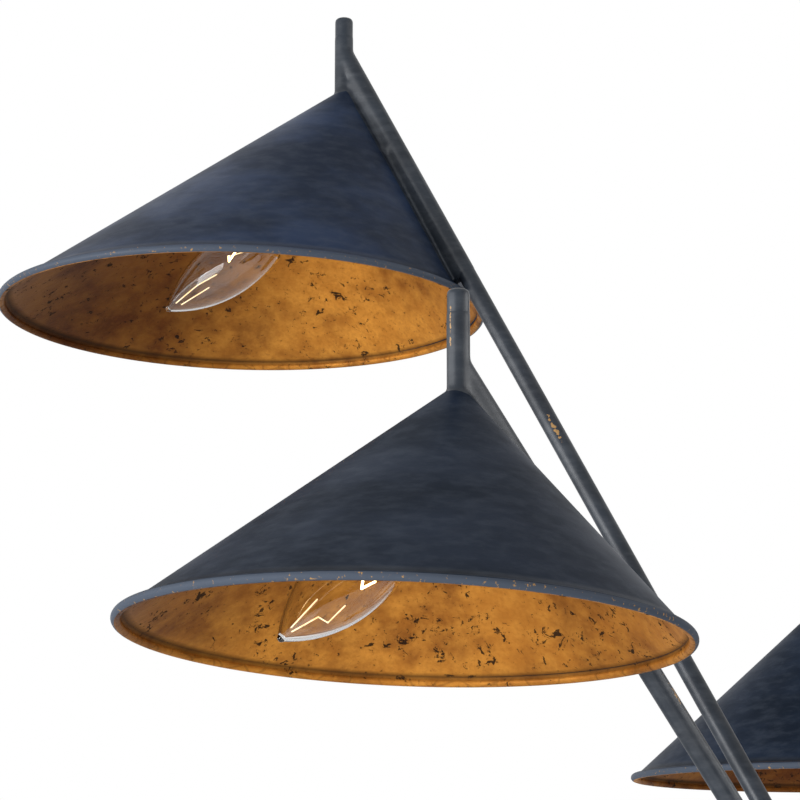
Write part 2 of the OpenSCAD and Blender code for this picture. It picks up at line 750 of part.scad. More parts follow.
module canopy_form(inset) {
    flat_r = canopy_r - canopy_round;
    rotate_extrude() intersection() {
        union() {
            translate([0, -canopy_h + inset]) square([flat_r, canopy_h]);
            translate([0, -canopy_h + canopy_round]) square([canopy_r - inset, canopy_h]);
            translate([flat_r, -canopy_h + canopy_round]) circle(r = canopy_round - inset);
        }
        translate([0, -canopy_h]) square([canopy_r, canopy_h + (inset > 0 ? past : 0)]);
    }
}

module canopy() {
    color("#2d3744") difference() {
        canopy_form(0);
        canopy_form(canopy_t);
        translate([0, 0, -canopy_h - past]) cylinder(r = housing_r + pass_gap, h = canopy_t + 2 * past);
    }
}

module canopy_ring() {
    color("#333d4b") translate([0, 0, -canopy_h - ring_h])
        tube(housing_r + ring_w, housing_r + pass_gap, ring_h);
}

crossbar();
ground_screw();
ceiling_nipple();
nipple_nuts();
canopy();
canopy_ring();
swivel_cap();
swivel_housing();
swivel_yoke();
knuckle_pin();
stem_knuckle();
stem();
coupler();
column();
hub();
hub_set_screws();
hub_cover();
finial();
holder_nipples();
holder_caps();
for (t = TIERS) for (k = arm_numbers) {
    arm(t, k);
    post(t, k);
    shade(t, k);
    lamp_holder(t, k);
    bulb_base(t, k);
    bulb_glass(t, k);
}
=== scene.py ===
"""Looks of a bouquet chandelier with slanted cone shades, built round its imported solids."""
import json
import logging
import math
from dataclasses import dataclass
from enum import Enum
from typing import Callable, Iterable, Sequence

import bmesh
import bpy
from bmesh.types import BMesh
from bpy.types import Material, Node, NodeTree, Object
from bpy.types import NodeSocket as Socket
from mathutils import Matrix, Vector


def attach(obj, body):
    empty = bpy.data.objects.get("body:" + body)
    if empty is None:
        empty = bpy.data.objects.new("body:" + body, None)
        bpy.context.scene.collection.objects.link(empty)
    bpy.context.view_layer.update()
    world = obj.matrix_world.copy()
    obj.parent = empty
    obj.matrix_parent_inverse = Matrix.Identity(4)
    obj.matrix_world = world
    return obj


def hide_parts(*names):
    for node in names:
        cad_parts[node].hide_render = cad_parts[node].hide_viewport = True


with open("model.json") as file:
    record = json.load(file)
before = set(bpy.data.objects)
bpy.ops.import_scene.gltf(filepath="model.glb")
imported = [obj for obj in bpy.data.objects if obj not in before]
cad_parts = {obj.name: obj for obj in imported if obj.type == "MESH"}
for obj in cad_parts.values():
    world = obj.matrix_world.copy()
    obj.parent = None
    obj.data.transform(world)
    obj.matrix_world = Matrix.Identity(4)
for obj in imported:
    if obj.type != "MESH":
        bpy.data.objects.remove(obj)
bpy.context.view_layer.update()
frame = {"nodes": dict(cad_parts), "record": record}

LOG = logging.getLogger("chandelier")
MM = 0.001
MERGE = 1e-4
HUB_Z = -988.679
MIX_A, MIX_B, MIX_RESULT = 6, 7, 2
WEAR = "wear"
# painted shade in the shades' creases, and a dark band round each post's top
CREASE_SHADE_AND_BAND = "crease_shade_and_band"
# painted shade on one side of the gold leaf, tinted brownish
SIDE_SHADE = "tone"
# painted light on the lower part of the bead
BEAD_LIGHT = "pale"
Point2 = tuple[float, float]
Point3 = tuple[float, float, float]
Colour = tuple[float, float, float]
Run = tuple[float, tuple[Point3, ...]]


class Tier(Enum):
    """The two rings of arms."""

    LOWER = "lower"
    UPPER = "upper"


class Skin(Enum):
    """Material places of a shade's mesh."""

    OUTSIDE = 0
    INSIDE = 1


@dataclass(frozen=True)
class TierSizes:
    """Sizes of one ring of arms, in millimetres and degrees."""

    reach: float
    rise: float
    rim_r: float
    cone_h: float
    rim_tilt: float
    tip_gap: float
    tip_in: float
    rim_gap: float
    lamp_drop: float
    holder_gap: float
    first_azimuth: float


@dataclass(frozen=True)
class RodSizes:
    """Sizes that all arms, posts and shades share, in millimetres."""

    rod_r: float = 4.75
    bead_r: float = 2.0
    sheet_t: float = 1.1
    post_rise: float = 40.0
    post_foot: float = 13.0
    post_round: float = 2.5
    arm_start: float = 24.0


@dataclass(frozen=True)
class LampSizes:
    """Sizes of a candle lamp along its own axis, in millimetres from the top of its holder."""

    base_top: float = 36.0
    base_mouth: float = 57.0
    base_r: float = 5.95
    contact_h: float = 2.5
    glass_foot: float = 53.0
    glass_mid: float = 89.0
    glass_r: float = 16.2
    glass_tip_len: float = 46.0
    glass_end: float = 2.4
    glass_t: float = 0.8

    @property
    def arc(self) -> float:
        """Radius of the glass's long curve."""
        return (self.glass_tip_len ** 2 + self.glass_r ** 2) / (2 * self.glass_r)

    def radius(self, z: float, inset: float = 0.0) -> float:
        """Radius of the glass at one height, some way inside its outer face, never under zero."""
        reach = (self.arc - inset) ** 2 - (z - self.glass_mid) ** 2
        return max(0.0, self.glass_r - self.arc + math.sqrt(max(0.0, reach)))


TIERS: dict[Tier, TierSizes] = {
    Tier.LOWER: TierSizes(reach=311.0, rise=375.0, rim_r=116.0, cone_h=107.5, rim_tilt=2.75, tip_gap=0.35,
                          tip_in=0.0, rim_gap=2.5, lamp_drop=33.0, holder_gap=4.6, first_azimuth=95.0),
    Tier.UPPER: TierSizes(reach=341.0, rise=625.0, rim_r=127.5, cone_h=118.0, rim_tilt=1.25, tip_gap=0.4,
                          tip_in=3.9, rim_gap=0.5, lamp_drop=46.0, holder_gap=13.9, first_azimuth=155.0),
}
ROD = RodSizes()
LAMP = LampSizes()
ARMS_PER_TIER = 3
STEM_SECTION: tuple[Point2, ...] = (
    (0.0, 0.0), (3.8, 0.0), (2.4, 3.0), (1.9, 8.0), (1.8, 15.0), (2.3, 18.0), (1.6, 20.5), (0.0, 21.0),
)
COIL: tuple[Run, ...] = ((0.48, ((2.9, 3.2, -1.0), (6.7, -1.4, -1.0), (7.7, 0.4, -7.0))),)
# painted light: lead wires made to glow, and glowing streaks near the glass's tip that stand for
# reflections in it
GLOWING_WIRES_AND_GLINTS: tuple[Run, ...] = (
    (0.25, ((0.0, -1.2, -17.0), (1.5, 0.8, -9.0), (2.9, 3.2, -1.0))),
    (0.25, ((0.0, 1.2, -17.0), (4.0, 1.2, -12.0), (7.7, 0.4, -7.0))),
    (0.3, ((0.0, -2.3, 36.0), (-1.6, -2.8, 18.5))),
    (0.3, ((0.9, -0.1, 38.0), (3.5, -0.4, 24.0), (8.7, -3.1, 20.0), (8.4, -4.4, 8.0))),
)


@dataclass(frozen=True)
class ArmPlace:
    """Where one arm stands, and the frames of what it carries, in millimetres."""

    tier: Tier
    number: int

    @property
    def sizes(self) -> TierSizes:
        """Sizes of this arm's ring."""
        return TIERS[self.tier]

    @property
    def slope(self) -> float:
        """Angle of the arm above the horizon, in radians."""
        return math.atan2(self.sizes.rise, self.sizes.reach)

    @property
    def length(self) -> float:
        """Length of the arm's axis."""
        return math.hypot(self.sizes.rise, self.sizes.reach)

    @property
    def lift(self) -> float:
        """Height of the arm's upper end above the cone's tip."""
        s = self.sizes
        return (ROD.rod_r + s.tip_gap) / math.cos(self.slope) + s.tip_in * math.tan(self.slope)

    @property
    def tip_z(self) -> float:
        """Height of the cone's tip above the point where all arms meet."""
        return self.sizes.rise - self.lift

    @property
    def tilt(self) -> float:
        """Tilt of the rim, in radians."""
        return math.radians(self.sizes.rim_tilt)

    @property
    def rim_shift(self) -> float:
        """Distance of the rim's middle outwards from the cone's tip."""
        s = self.sizes
        below = self.lift + s.cone_h + s.rim_r * math.sin(self.tilt)
        clear = ROD.rod_r + ROD.bead_r + s.rim_gap - below * math.cos(self.slope)
        return s.tip_in + s.rim_r * math.cos(self.tilt) + clear / math.sin(self.slope)

    @property
    def local_shift(self) -> float:
        """The same shift in the rim's tilted frame."""
        return self.rim_shift * math.cos(self.tilt) - self.sizes.cone_h * math.sin(self.tilt)

    @property
    def local_h(self) -> float:
        """Height of the tip in the rim's tilted frame."""
        return self.sizes.cone_h * math.cos(self.tilt) + self.rim_shift * math.sin(self.tilt)

    @property
    def lamp_s(self) -> float:
        """Distance of the lamp's axis along the arm."""
        s = self.sizes
        tip_s = self.length - self.lift * math.sin(self.slope) - s.tip_in * math.cos(self.slope)
        return tip_s - s.lamp_drop

    @property
    def wall(self) -> float:
        """Length of the cone's steep wall along the arm."""
        s = self.sizes
        return ((s.rim_r * math.cos(self.tilt) - self.rim_shift) * math.cos(self.slope)
                + (s.cone_h + s.rim_r * math.sin(self.tilt)) * math.sin(self.slope))

    @property
    def holder_d(self) -> float:
        """Distance of the lamp holder's top from the arm's axis."""
        s = self.sizes
        off = s.tip_gap + (ROD.bead_r + s.rim_gap - s.tip_gap) * s.lamp_drop / self.wall
        return ROD.rod_r + off + ROD.sheet_t + s.holder_gap

    def name(self, piece: str) -> str:
        """Name of a piece on this arm."""
        return f"{self.tier.value}_{piece}_{self.number}"

    def plane(self) -> Matrix:
        """Frame of the arm's upright plane, X outwards."""
        turn = math.radians(self.sizes.first_azimuth + (self.number - 1) * 360 / ARMS_PER_TIER)
        return Matrix.Translation((0, 0, HUB_Z)) @ Matrix.Rotation(turn, 4, "Z")

    def along(self, s: float = 0.0) -> Matrix:
        """Frame on the arm's axis, Z along it, some way from the point where all arms meet."""
        lean = Matrix.Rotation(math.pi / 2 - self.slope, 4, "Y")
        return self.plane() @ lean @ Matrix.Translation((0, 0, s))

    def lamp(self) -> Matrix:
        """Frame of the lamp's axis, Z out of the holder's cap."""
        across = self.along(self.lamp_s) @ Matrix.Rotation(math.pi / 2, 4, "Y")
        return across @ Matrix.Translation((0, 0, self.holder_d))

    def rim(self) -> Matrix:
        """Frame of the rim, Z up out of its plane."""
        s = self.sizes
        middle = (s.reach - s.tip_in + self.rim_shift, 0, self.tip_z - s.cone_h)
        return self.plane() @ Matrix.Translation(middle) @ Matrix.Rotation(-self.tilt, 4, "Y")

    def shear(self) -> Matrix:
        """Slant of the cone in the rim's frame."""
        slant = -self.local_shift / self.local_h
        return Matrix(((1, 0, slant, 0), (0, 1, 0, 0), (0, 0, 1, 0), (0, 0, 0, 1)))

    @property
    def post_z(self) -> float:
        """Height at which the post's axis goes through the cone's outer wall."""
        s = self.sizes
        fall = s.cone_h - s.rim_r * math.sin(self.tilt)
        return self.tip_z - s.tip_in * fall / (self.rim_shift + s.rim_r * math.cos(self.tilt))

    def post(self) -> Matrix:
        """Frame of the post where it leaves the cone, Z up along it."""
        return self.plane() @ Matrix.Translation((self.sizes.reach, 0, self.post_z))


class Graph:
    """A small helper that adds and links shader nodes."""

    def __init__(self, tree: NodeTree) -> None:
        """Keeps the tree and empties it."""
        self.tree = tree
        tree.nodes.clear()

    def add(self, kind: str, inputs: dict | None = None, **settings: object) -> Node:
        """Adds one node.

        Args:
            kind: Node type.
            inputs: Values or sockets for its inputs, by name or number.
            settings: Properties of the node.

        Returns:
            The new node.
        """
        node = self.tree.nodes.new(kind)
        for key, value in settings.items():
            setattr(node, key, value)
        for key, value in (inputs or {}).items():
            if isinstance(value, Socket):
                self.tree.links.new(value, node.inputs[key])
            else:
                node.inputs[key].default_value = value
        return node

    def math(self, operation: str, *values: object) -> Socket:
        """A Math node's result, from numbers or sockets."""
        return self.add("ShaderNodeMath", dict(enumerate(values)), operation=operation).outputs[0]

    def scaled(self, value: Socket, share: float) -> Socket:
        """A value times a number."""
        return self.math("MULTIPLY", value, share)

    def ramp(self, value: object, low: object, high: object) -> Socket:
        """A soft step of a value, zero at the low end and one at the high end."""
        inputs = {"Value": value, "From Min": low, "From Max": high}
        return self.add("ShaderNodeMapRange", inputs, interpolation_type="SMOOTHSTEP").outputs["Result"]

    def mix(self, share: object, a: object, b: object) -> Socket:
        """A mix of two colours or sockets, with the share of the second."""
        first, second = (c if isinstance(c, Socket) else (*c, 1.0) for c in (a, b))
        node = self.add("ShaderNodeMix", {0: share, MIX_A: first, MIX_B: second}, data_type="RGBA")
        return node.outputs[MIX_RESULT]

    def coats(self, base: Colour, *coats: tuple[Socket, Colour]) -> Socket:
        """A base colour with coats laid over it, each with its mask."""
        for mask, colour in coats:
            base = self.mix(mask, base, colour)
        return base

    def noise(self, vector: Socket, scale: object, **inputs: float) -> Socket:
        """A Noise Texture's value."""
        return self.add("ShaderNodeTexNoise", {"Vector": vector, "Scale": scale, **inputs}).outputs[0]

    def attribute(self, name: str) -> Socket:
        """A number that the mesh carries."""
        return self.add("ShaderNodeAttribute", attribute_name=name).outputs["Fac"]

    def bump(self, height: Socket, strength: float, distance: float) -> Socket:
        """A normal that a height bends."""
        inputs = {"Strength": strength, "Distance": distance, "Height": height}
        return self.add("ShaderNodeBump", inputs).outputs[0]

    def seen(self) -> Socket:
        """One for what the camera, shiny faces and glass see, zero for the light that is given."""
        path = self.add("ShaderNodeLightPath").outputs
        mirrored = self.math("MAXIMUM", path["Is Glossy Ray"], path["Is Transmission Ray"])
        return self.math("MAXIMUM", path["Is Camera Ray"], mirrored)

    def group(self, name: str, **inputs: object) -> Socket:
        """The output of a shared node group, its inputs given by name."""
        return self.add("ShaderNodeGroup", inputs, node_tree=shared_group(name)).outputs[0]


def mottle(graph: Graph, vector: Socket, scale: Socket, low: Socket, high: Socket) -> Socket:
    """Soft clouds of tone, as brushed patina and old leaf have."""
    return graph.ramp(graph.noise(vector, scale, Detail=4.0, Roughness=0.6), low, high)


def grain(graph: Graph, vector: Socket, scale: Socket, pits: Socket) -> Socket:
    """Fine brush marks and pits, as a height."""
    pit_size, pit_low, pit_high = 6.0, 0.3, 0.7
    fine = graph.noise(vector, scale, Detail=3.0)
    wide = graph.noise(vector, graph.math("DIVIDE", scale, pit_size), Detail=5.0, Roughness=0.7)
    dents = graph.math("MULTIPLY", graph.ramp(wide, pit_low, pit_high), pits)
    return graph.math("ADD", fine, dents)


def flecks(graph: Graph, vector: Socket, scale: Socket, amount: Socket) -> Socket:
    """Clusters of ragged dark flecks where the layer on top has broken away."""
    crowd_size, crowd_share, none_at, per_amount, soft = 4.5, 0.36, 0.985, 0.2, 0.035
    ragged = graph.noise(vector, scale, Detail=5.0, Roughness=0.72, Distortion=0.6)
    crowd = graph.noise(vector, graph.math("DIVIDE", scale, crowd_size), Detail=2.0)
    both = graph.math("ADD", ragged, graph.scaled(crowd, crowd_share))
    low = graph.math("SUBTRACT", none_at, graph.scaled(amount, per_amount))
    return graph.ramp(both, low, graph.math("ADD", low, soft))


def rub(graph: Graph, vector: Socket, scale: Socket, edge: Socket, amount: Socket) -> Socket:
    """Specks where hands have rubbed a finish through, strongest on marked edges."""
    none_at, soft = 0.84, 0.05
    specks = graph.noise(vector, scale, Detail=4.0, Roughness=0.65)
    low = graph.math("SUBTRACT", none_at, graph.math("MULTIPLY", edge, amount))
    return graph.ramp(specks, low, graph.math("ADD", low, soft))


GROUPS: dict[str, tuple[Callable[..., Socket], Sequence[str]]] = {
    "mottle": (mottle, ("Vector", "Scale", "Low", "High")),
    "grain": (grain, ("Vector", "Scale", "Pits")),
    "flecks": (flecks, ("Vector", "Scale", "Amount")),
    "rub": (rub, ("Vector", "Scale", "Edge", "Amount")),
}


def shared_group(name: str) -> NodeTree:
    """A shared node group, made at its first use.

    Args:
        name: Name of the group.

    Returns:
        The group's tree, with one number as its output.
    """
    if name in bpy.data.node_groups:
        return bpy.data.node_groups[name]
    tree = bpy.data.node_groups.new(name, "ShaderNodeTree")
    made, inputs = GROUPS[name]
    for key in inputs:
        kind = "NodeSocketVector" if key == "Vector" else "NodeSocketFloat"
        tree.interface.new_socket(name=key, in_out="INPUT", socket_type=kind)
    tree.interface.new_socket(name="Value", in_out="OUTPUT", socket_type="NodeSocketFloat")
    graph = Graph(tree)
    given = graph.add("NodeGroupInput").outputs
    graph.add("NodeGroupOutput", {"Value": made(graph, *(given[key] for key in inputs))})
    return tree


@dataclass(frozen=True)
class Finish:
    """A finish of procedural nodes on object coordinates."""

    name: str

    def inputs(self, graph: Graph, place: Socket) -> dict:
        """What the shader is given, by the names of its inputs."""
        raise NotImplementedError

    def material(self) -> Material:
        """Builds the finish."""
        material = bpy.data.materials.new(self.name)
        material.use_nodes = True
        graph = Graph(material.node_tree)
        place = graph.add("ShaderNodeTexCoord").outputs["Object"]
        shader = graph.add("ShaderNodeBsdfPrincipled", self.inputs(graph, place))
        graph.add("ShaderNodeOutputMaterial", {"Surface": shader.outputs[0]})
        return material


@dataclass(frozen=True)
class Mottle:
    """How fine a finish's clouds are, where their soft step lies, and how much they cover."""

    scale: float
    low: float
    high: float
    share: float = 1.0

    def mask(self, graph: Graph, place: Socket) -> Socket:
        """The clouds, from zero to their share."""
        found = graph.group("mottle", Vector=place, Scale=self.scale, Low=self.low, High=self.high)
        return found if self.share == 1.0 else graph.scaled(found, self.share)


@dataclass(frozen=True)
class Flecks:
    """How fine and how many a finish's flecks are, and how much they cover."""

    scale: float
    amount: float
    share: float

    def mask(self, graph: Graph, place: Socket) -> Socket:
        """The flecks, from zero to their share."""
        found = graph.group("flecks", Vector=place, Scale=self.scale, Amount=self.amount)
        return graph.scaled(found, self.share)


@dataclass(frozen=True)
class Grain:
    """How fine a finish's brush marks are, the part of its pits, and the relief that they make."""

    scale: float
    pits: float
    strength: float
    depth: float

    def height(self, graph: Graph, place: Socket) -> Socket:
        """The marks as a height."""
        return graph.group("grain", Vector=place, Scale=self.scale, Pits=self.pits)

    def normal(self, graph: Graph, height: Socket) -> Socket:
        """The normal that a height gives."""
        return graph.bump(height, self.strength, self.depth)


@dataclass(frozen=True)
class PatinaFinish(Finish):
    """Blue-black brushed patina over gilded metal, rubbed through on its edges, with painted light on the
    bead, painted shade in the creases and a dark band at the posts' tops.
    """

    name: str = "patina"
    dark: Colour = (0.006, 0.011, 0.021)
    mid: Colour = (0.014, 0.023, 0.043)
    pale: Colour = (0.078, 0.094, 0.124)
    gold: Colour = (0.42, 0.24, 0.09)
    # colour of the painted crease shade and of the dark band round the posts' tops
    shade_and_band_colour: Colour = (0.004, 0.005, 0.007)
    roughness: float = 0.46
    rough_range: float = 0.1
    specular: float = 0.03
    rub: float = 0.36
    rub_scale: float = 520.0
    crease_shade_and_band_share: float = 0.8
    stretch: Colour = (1.0, 1.0, 2.6)
    clouds: Mottle = Mottle(14.0, 0.32, 0.68)
    brush: Mottle = Mottle(90.0, 0.38, 0.74, 0.22)
    dust: Flecks = Flecks(900.0, 0.42, 0.5)
    grain: Grain = Grain(700.0, 0.8, 0.06, 0.0006)

    def inputs(self, graph: Graph, place: Socket) -> dict:
        """What the shader is given."""
        drawn = graph.add("ShaderNodeMapping", {"Vector": place, "Scale": self.stretch}).outputs[0]
        clouds = self.clouds.mask(graph, drawn)
        # painted shade in the shade's creases, and a dark band round the post's top
        crease_shade_and_band = graph.scaled(graph.attribute(CREASE_SHADE_AND_BAND), self.crease_shade_and_band_share)
        edge = graph.attribute(WEAR)
        rubbed = graph.group("rub", Vector=place, Scale=self.rub_scale, Edge=edge, Amount=self.rub)
        # the pale colour serves brush streaks, dust and the bead's painted light
        colour = graph.coats(self.dark, (clouds, self.mid), (self.brush.mask(graph, drawn), self.pale),
                             (graph.attribute(BEAD_LIGHT), self.pale), (crease_shade_and_band, self.shade_and_band_colour),
                             (self.dust.mask(graph, place), self.pale), (rubbed, self.gold))
        middle = self.roughness + self.rough_range / 2
        return {
            "Base Color": colour,
            "Roughness": graph.math("MULTIPLY_ADD", clouds, -self.rough_range, middle),
            "Normal": self.grain.normal(graph, self.grain.height(graph, drawn)),
            "Specular IOR Level": self.specular,
        }


@dataclass(frozen=True)
class LeafFinish(Finish):
    """Antiqued gold leaf with dark flecks, cracks and seams, with painted shade on one side and in the
    rim's creases.
    """

    name: str = "gold_leaf"
    deep: Colour = (0.17, 0.052, 0.008)
    warm: Colour = (0.466, 0.183, 0.0255)
    bright: Colour = (0.72, 0.323, 0.052)
    # dark brownish colour of the painted shade on one side of the leaf
    side_shade_colour: Colour = (0.046, 0.010, 0.002)
    # colour of the flecks, also of the painted shade in the rim's inner crease
    fleck_and_shade_colour: Colour = (0.012, 0.007, 0.004)
    roughness: float = 0.5
    metallic: float = 0.25
    specular: float = 0.06
    clouds: Mottle = Mottle(22.0, 0.30, 0.62)
    patches: Mottle = Mottle(95.0, 0.30, 0.75, 0.55)
    speckle: Mottle = Mottle(520.0, 0.36, 0.70, 0.25)
    side_shade_top: float = 0.96
    side_shade_range: float = 0.2
    flecks: Flecks = Flecks(210.0, 1.0, 0.94)
    specks: Flecks = Flecks(520.0, 0.82, 0.8)
    seam_scale: float = 70.0
    seam_step: Point2 = (0.05, 0.012)
    seam_share: float = 0.7
    crease_shade_and_band_share: float = 0.85
    fleck_depth: float = 0.8
    fleck_rough: float = 0.25
    grain: Grain = Grain(620.0, 1.0, 0.16, 0.0006)

    def inputs(self, graph: Graph, place: Socket) -> dict:
        """What the shader is given."""
        clouds = self.clouds.mask(graph, place)
        # painted shade: the leaf darkened towards a brownish colour on the shade's outer side and a little
        # next to the arm
        side_shade_wash = graph.math("MULTIPLY_ADD", clouds, -self.side_shade_range, self.side_shade_top)
        side_shade = graph.math("MULTIPLY", graph.attribute(SIDE_SHADE), side_shade_wash)
        dark = self.broken(graph, place)
        colour = graph.coats(self.deep, (clouds, self.warm), (self.patches.mask(graph, place), self.bright),
                             (side_shade, self.side_shade_colour), (self.speckle.mask(graph, place), self.deep),
                             (dark, self.fleck_and_shade_colour))
        sunk = graph.scaled(dark, self.fleck_depth)
        raised = graph.math("SUBTRACT", self.grain.height(graph, place), sunk)
        return {
            "Base Color": colour,
            "Roughness": graph.math("MULTIPLY_ADD", dark, self.fleck_rough, self.roughness),
            "Normal": self.grain.normal(graph, raised),
            "Metallic": self.metallic,
            "Specular IOR Level": self.specular,
        }

    def broken(self, graph: Graph, place: Socket) -> Socket:
        """Where the leaf is dark: flecks, specks, the rim's seams and the painted shade in the rim's
        creases.

        Args:
            graph: Graph of the material.
            place: Coordinates.

        Returns:
            The mask's socket.
        """
        inputs = {"Vector": place, "Scale": self.seam_scale, "Randomness": 1.0}
        cells = graph.add("ShaderNodeTexVoronoi", inputs, feature="DISTANCE_TO_EDGE").outputs["Distance"]
        seams = graph.math("MULTIPLY", graph.ramp(cells, *self.seam_step), graph.attribute(WEAR))
        dark = self.flecks.mask(graph, place)
        # the painted shade in the rim's inner crease joins the dark places
        for mask in (self.specks.mask(graph, place), graph.scaled(seams, self.seam_share),
                     graph.scaled(graph.attribute(CREASE_SHADE_AND_BAND), self.crease_shade_and_band_share)):
            dark = graph.math("MAXIMUM", dark, mask)
        return dark


@dataclass(frozen=True)
class PlainMetalFinish(Finish):
    """Bare or plated metal with brush marks and faint stains."""

    clean: Colour
    stained: Colour
    roughness: float = 0.32
    metallic: float = 1.0
    stains: Mottle = Mottle(60.0, 0.4, 0.75)
    stain_share: float = 0.7
    stain_rough: float = 0.2
    grain: Grain = Grain(1500.0, 0.4, 0.08, 0.0003)

    def inputs(self, graph: Graph, place: Socket) -> dict:
        """What the shader is given."""
        stains = self.stains.mask(graph, place)
        return {
            "Base Color": graph.mix(graph.scaled(stains, self.stain_share), self.clean, self.stained),
            "Roughness": graph.math("MULTIPLY_ADD", stains, self.stain_rough, self.roughness),
            "Normal": self.grain.normal(graph, self.grain.height(graph, place)),
            "Metallic": self.metallic,
        }


@dataclass(frozen=True)
class GlassFinish(Finish):
    """Clear blown glass with the faintest waves."""

    name: str = "clear_glass"
    tint: Colour = (0.985, 0.99, 0.985)
    ior: float = 1.46
    waves: Mottle = Mottle(60.0, 0.0, 1.0)
    wave_strength: float = 0.015
    wave_depth: float = 0.001

    def inputs(self, graph: Graph, place: Socket) -> dict:
        """What the shader is given."""
        waves = self.waves.mask(graph, place)
        return {
            "Normal": graph.bump(waves, self.wave_strength, self.wave_depth),
            "Base Color": (*self.tint, 1.0),
            "Roughness": 0.0,
            "IOR": self.ior,
            "Transmission Weight": 1.0,
        }


@dataclass(frozen=True)
class GlowFinish(Finish):
    """Glowing tungsten wire, hotter in places; also the glowing lead wires and painted glints in the lamps.
    """

    hot: Colour
    cool: Colour
    strength: float
    cold: Colour = (0.1, 0.06, 0.03)
    roughness: float = 0.5
    heat: Mottle = Mottle(260.0, 0.3, 0.6)

    def inputs(self, graph: Graph, place: Socket) -> dict:
        """What the shader is given."""
        return {
            "Emission Color": graph.mix(self.heat.mask(graph, place), self.cool, self.hot),
            "Emission Strength": self.strength,
            "Base Color": (*self.cold, 1.0),
            "Roughness": self.roughness,
        }


@dataclass(frozen=True)
class FloorFinish(Finish):
    """Pale plain floor, paler to the camera than in the light that it gives back."""

    name: str = "studio_floor"
    dull: Colour = (0.86, 0.86, 0.86)
    pale: Colour = (0.88, 0.88, 0.88)
    lift: Colour = (0.2, 0.2, 0.2)
    roughness: float = 0.9
    clouds: Mottle = Mottle(0.8, 0.2, 0.8)

    def inputs(self, graph: Graph, place: Socket) -> dict:
        """What the shader is given."""
        return {
            "Base Color": graph.mix(self.clouds.mask(graph, place), self.dull, self.pale),
            "Emission Strength": graph.seen(),
            "Emission Color": (*self.lift, 1.0),
            "Roughness": self.roughness,
        }


class Finishes:
    """All finishes of the chandelier, each made once."""

    def __init__(self) -> None:
        """Builds every material."""
        self.patina = PatinaFinish().material()
        # painted light: a lighter, bluer copy of the patina for the upper shades
        self.lit_blue_patina = PatinaFinish("lit_blue_patina", (0.007, 0.014, 0.032), (0.020, 0.037, 0.084),
                                        specular=0.08).material()
        # painted light: a lighter, greyer copy of the patina for the rods and other solids, with its own
        # roughness and shine
        self.rod = PatinaFinish("lit_rod_patina", (0.008, 0.012, 0.019), (0.020, 0.027, 0.038),
                                (0.11, 0.12, 0.135), roughness=0.38, specular=0.3, rub=0.42,
                                grain=Grain(700.0, 0.8, 0.008, 0.0006)).material()
        self.leaf = LeafFinish().material()
        self.brass = PlainMetalFinish("brass", (0.58, 0.42, 0.17), (0.36, 0.22, 0.08)).material()
        self.zinc = PlainMetalFinish("zinc", (0.55, 0.56, 0.58), (0.36, 0.37, 0.38)).material()
        self.green = PlainMetalFinish("green_screw", (0.08, 0.20, 0.07), (0.05, 0.12, 0.05),
                                      roughness=0.4, metallic=0.6).material()
        self.phenolic = PlainMetalFinish("phenolic", (0.016, 0.014, 0.013), (0.03, 0.027, 0.024),
                                         roughness=0.45, metallic=0.0).material()
        self.gilding = LeafFinish("gilding", metallic=0.7, roughness=0.38).material()
        self.glass = GlassFinish().material()
        self.filament = GlowFinish("filament", (1.0, 0.72, 0.34), (1.0, 0.60, 0.22), 9.0).material()
        # glow of the lead wires and the painted glints
        self.wire_and_glint_glow = GlowFinish("glowing_wire_and_glint", (1.0, 0.80, 0.50), (1.0, 0.62, 0.24), 1.6).material()


def cleaned(bm: BMesh) -> BMesh:
    """Merges a mesh's doubles and turns its faces outwards."""
    bmesh.ops.remove_doubles(bm, verts=bm.verts[:], dist=MERGE)
    bmesh.ops.recalc_face_normals(bm, faces=bm.faces[:])
    return bm


def spun(profile: Sequence[Point2], steps: int) -> BMesh:
    """Turns a profile once round the Z axis.

    Args:
        profile: Points as radius and height, in order.
        steps: Number of faces round the axis.

    Returns:
        The turned mesh, with its doubles merged and its faces pointing outwards.
    """
    bm = bmesh.new()
    verts = [bm.verts.new((r, 0.0, z)) for r, z in profile]
    edges = [bm.edges.new(pair) for pair in zip(verts, verts[1:])]
    bmesh.ops.spin(bm, geom=verts + edges, cent=(0, 0, 0), axis=(0, 0, 1), angle=2 * math.pi, steps=steps,
                   use_merge=True)
    return cleaned(bm)


def curve_points(a: Point2, b: Point2, c: Point2, count: int) -> list[Point2]:
    """Points along a soft corner.

    Args:
        a: Start of the curve.
        b: Corner that the curve bends towards.
        c: End of the curve.
        count: Number of steps.

    Returns:
        The points, both ends included.
    """
    points = []
    for i in range(count + 1):
        t = i / count
        points.append(tuple((1 - t) ** 2 * a[j] + 2 * t * (1 - t) * b[j] + t * t * c[j] for j in (0, 1)))
    return points


def line_points(a: Point2, b: Point2, count: int) -> list[Point2]:
    """Points along a straight stretch, without its two ends."""
    return [tuple(a[j] + (b[j] - a[j]) * i / count for j in (0, 1)) for i in range(1, count)]


def cylinder(bm: BMesh, middle: Matrix, length: float, radius: float, sides: int) -> None:
    """Adds a closed cylinder round a frame's Z axis, half of it below the frame's origin."""
    bmesh.ops.create_cone(bm, cap_ends=True, segments=sides, radius1=radius, radius2=radius, depth=length,
                          matrix=middle)


